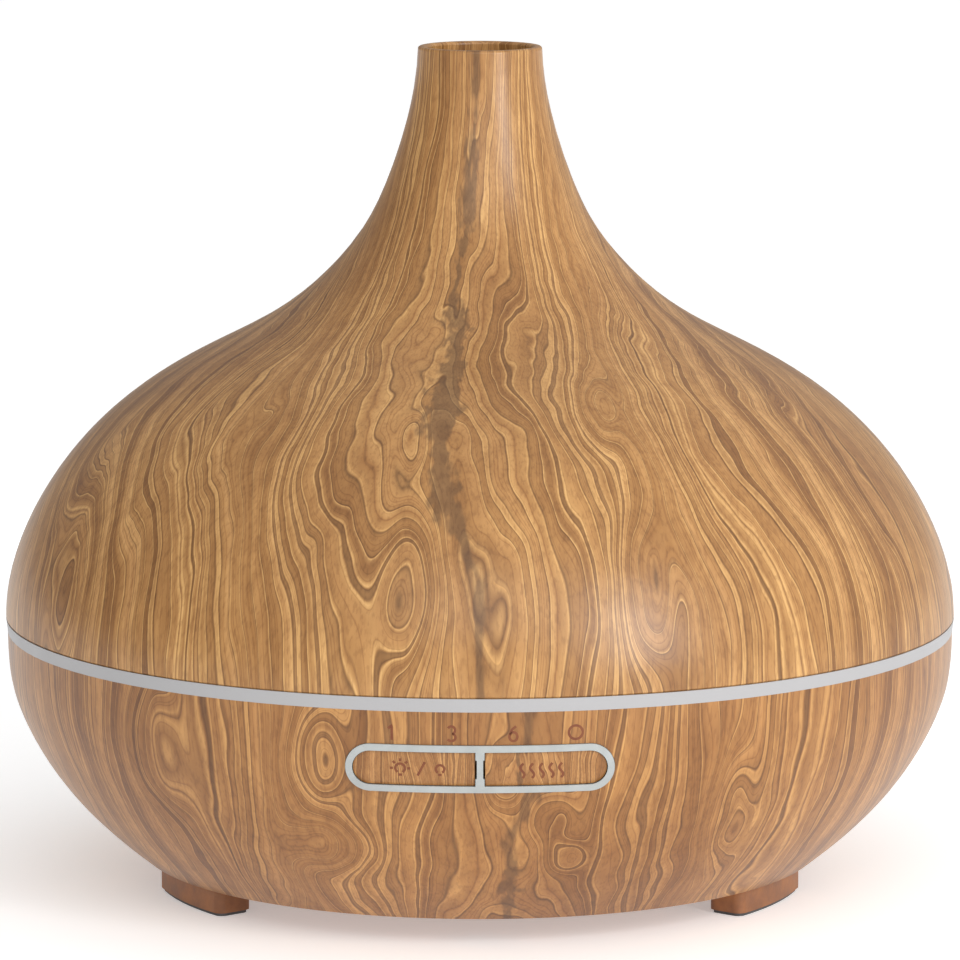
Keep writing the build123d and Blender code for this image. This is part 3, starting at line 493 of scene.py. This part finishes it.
def printed(name, node, body, strokes):
    """Strokes of ink laid on the front of a node, from lines of (x, z) in mm."""
    ground = nodes[node]
    skin = bmesh.new()
    for line in strokes:
        points = stepped(line)
        rows = []
        for i, (x, z) in enumerate(points):
            before, after = points[max(i - 1, 0)], points[min(i + 1, len(points) - 1)]
            run = Vector((after[0] - before[0], 0, after[1] - before[1])).normalized()
            side = Vector((-run.z, 0, run.x)) * STROKE / 2
            row = []
            for edge in (side, -side):
                aim = Vector((x + edge.x, -AHEAD, z + edge.z)) * MM
                hit, spot, normal, _ = ground.ray_cast(aim, Vector((0, 1, 0)))
                assert hit, name
                row.append((spot - normal * SUNK * MM, spot + normal * (INK_DEPTH - SUNK) * MM))
            (left_in, left_out), (right_in, right_out) = row
            rows.append([skin.verts.new(v) for v in (left_in, right_in, right_out, left_out)])
        for a, b in zip(rows, rows[1:]):
            for i in range(4):
                j = (i + 1) % 4
                skin.faces.new((a[i], a[j], b[j], b[i]))
        skin.faces.new(list(reversed(rows[0])))
        skin.faces.new(rows[-1])
    bmesh.ops.recalc_face_normals(skin, faces=skin.faces)
    mesh = bpy.data.meshes.new(name)
    skin.to_mesh(mesh)
    skin.free()
    mesh.materials.append(ink)
    piece = bpy.data.objects.new(name, mesh)
    bpy.context.scene.collection.objects.link(piece)
    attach(piece, body)


def one(x):
    """The numeral 1: a short flag and a stem."""
    top = MARK_LOW + TALL
    return [[(x - 0.5, MARK_LOW + 1.9), (x + 0.1, top), (x + 0.1, MARK_LOW)]]


def three(x):
    """The numeral 3: two open bowls in one stroke."""
    top = arc(x, MARK_LOW + 0.74 * TALL, 0.62, 0.26 * TALL, 150, -80)
    return [top + arc(x, MARK_LOW + 0.25 * TALL, 0.68, 0.25 * TALL, 80, -150)]


def six(x):
    """The numeral 6: a slanting tail that runs round into the bowl."""
    tail = [(x + 0.45, MARK_LOW + TALL), (x - 0.25, MARK_LOW + 0.78 * TALL)]
    return [tail + arc(x, MARK_LOW + 0.3 * TALL, 0.66, 0.3 * TALL, 165, 525, 22)]


def ring(x):
    """A ring, for running without a timer."""
    return [arc(x, MARK_LOW + TALL / 2, 1.15, 1.15, 0, 360, 26)]


def lamp(x, z, size):
    """A round bulb, open at the bottom, over a short base line."""
    bulb = arc(x, z + 0.3 * size, size, size, -60, 240, 20)
    foot = z - 1.15 * size
    return [bulb, [(x - 0.42 * size, foot), (x + 0.42 * size, foot)]]


def rays(x, z, near, far):
    """Five short rays over a lamp."""
    turns = [radians(turn) for turn in (0, 45, 90, 135, 180)]
    return [[(x + reach * cos(a), z + reach * sin(a)) for reach in (near, far)] for a in turns]


for numeral, draw, place in zip(("1", "3", "6", "ring"), (one, three, six, ring), TIMER_PLACES):
    printed("timer_mark_" + numeral, "base_shell", "case", draw(place))

# High and low light on the left cap: a lamp with rays, a stroke, and a plain lamp
high = lamp(-13.2, CAP_MIDDLE, 0.8) + rays(-13.2, 35.54, 1.2, 1.7)
slash = [[(-10.3, 34.3), (-9.1, 36.7)]]
low = lamp(-6.6, CAP_MIDDLE, 0.7)
printed("light_marks", "light_button", "light_key", high + slash + low)
# Mist on the right cap: five wavy lines
waves = [
    [(10.2 + shift + 0.34 * sin(step * 0.52), 33.9 + step * 0.2) for step in range(14)]
    for shift in (-3.2, -1.6, 0, 1.6, 3.2)
]
printed("mist_marks", "mist_button", "mist_key", waves)

# ---------------------------------------------------------------- floor, light and camera
FLOOR_SIZE, FLOOR_BACK = 9.0, 1.5  # m, its side, and how far its middle lies behind the axis
FLOOR_GLOW = 0.34  # keeps the paper near white in the body's own shadow
LIT_FROM = (0.62, -0.6, 0.5)  # the studio's bright side: right, in front and above
DIM, BRIGHT = 0.31, 0.88  # the sky's strength on the far side and on the bright side
AIM = Vector((0, 0, 0.075))  # m, the middle of the body
LENS = 233.9  # mm, on a sensor 36 mm wide
CAMERA_BACK, CAMERA_HIGH = 1.092, 0.2407  # m, in front of the axis and over the floor
CAMERA_TILT = 8.835  # degrees down

bpy.ops.mesh.primitive_plane_add(size=FLOOR_SIZE, location=(0, FLOOR_BACK, 0))
floor = bpy.context.object
floor.name = "floor"
# Matt white paper
floor_paper, _, _ = finish_of(
    "matte_paper_floor",
    **{
        "Base Color": paint("#F8F8F8"),
        "Roughness": 0.9,
        "Emission Color": paint("#FFFFFF"),
        "Emission Strength": FLOOR_GLOW,
    },
)
floor.data.materials.append(floor_paper)

# A bright studio, darker on the left and behind, which shades that side of the body
world = bpy.data.worlds.new("studio")
bpy.context.scene.world = world
world.use_nodes = True
studio = world.node_tree
sky = studio.nodes["Background"]
sky.inputs["Color"].default_value = paint("#FFFFFF")
direction = add(studio, "TexCoord").outputs["Generated"]
lit_side = add(studio, "VectorMath", {0: direction, 1: LIT_FROM}, operation="DOT_PRODUCT")
lit_side = lit_side.outputs["Value"]
fade = {"Value": lit_side, "From Min": -0.7, "From Max": 0.8, "To Min": DIM, "To Max": BRIGHT}
strength = add(studio, "MapRange", fade, interpolation_type="SMOOTHSTEP").outputs["Result"]
studio.links.new(strength, sky.inputs["Strength"])


def softbox(name, turn, height, distance, width, tall, power):
    """A soft light of that width and height in m, at that turn and elevation in degrees.

    It is aimed at the middle of the body, from that distance in m, and its power is in watts.
    """
    light = bpy.data.lights.new(name, "AREA")
    light.shape = "RECTANGLE"
    light.size, light.size_y = width, tall
    light.energy = power
    stand = bpy.data.objects.new(name, light)
    bpy.context.scene.collection.objects.link(stand)
    a, e = radians(turn), radians(height)
    out = Vector((sin(a) * cos(e), -cos(a) * cos(e), sin(e)))
    stand.location = AIM + out * distance
    stand.rotation_mode = "QUATERNION"
    stand.rotation_quaternion = (-out).to_track_quat("-Z", "Y")


# The narrow one gives the long shine down the right, and the wide one lifts the front
softbox("key_softbox", 38, 20, 1.3, 0.26, 0.7, 7.4)
softbox("front_softbox", 0, 34, 1.9, 1.0, 0.8, 4)

# A long lens, a little above the body and tilted down to it
lens = bpy.data.cameras.new("camera")
lens.sensor_width = 36.0
lens.lens = LENS
camera = bpy.data.objects.new("camera", lens)
bpy.context.scene.collection.objects.link(camera)
camera.location = (0.0, -CAMERA_BACK, CAMERA_HIGH)
camera.rotation_euler = (radians(90 - CAMERA_TILT), 0, 0)
bpy.context.scene.camera = camera
bpy.context.scene.view_settings.view_transform = "Standard"
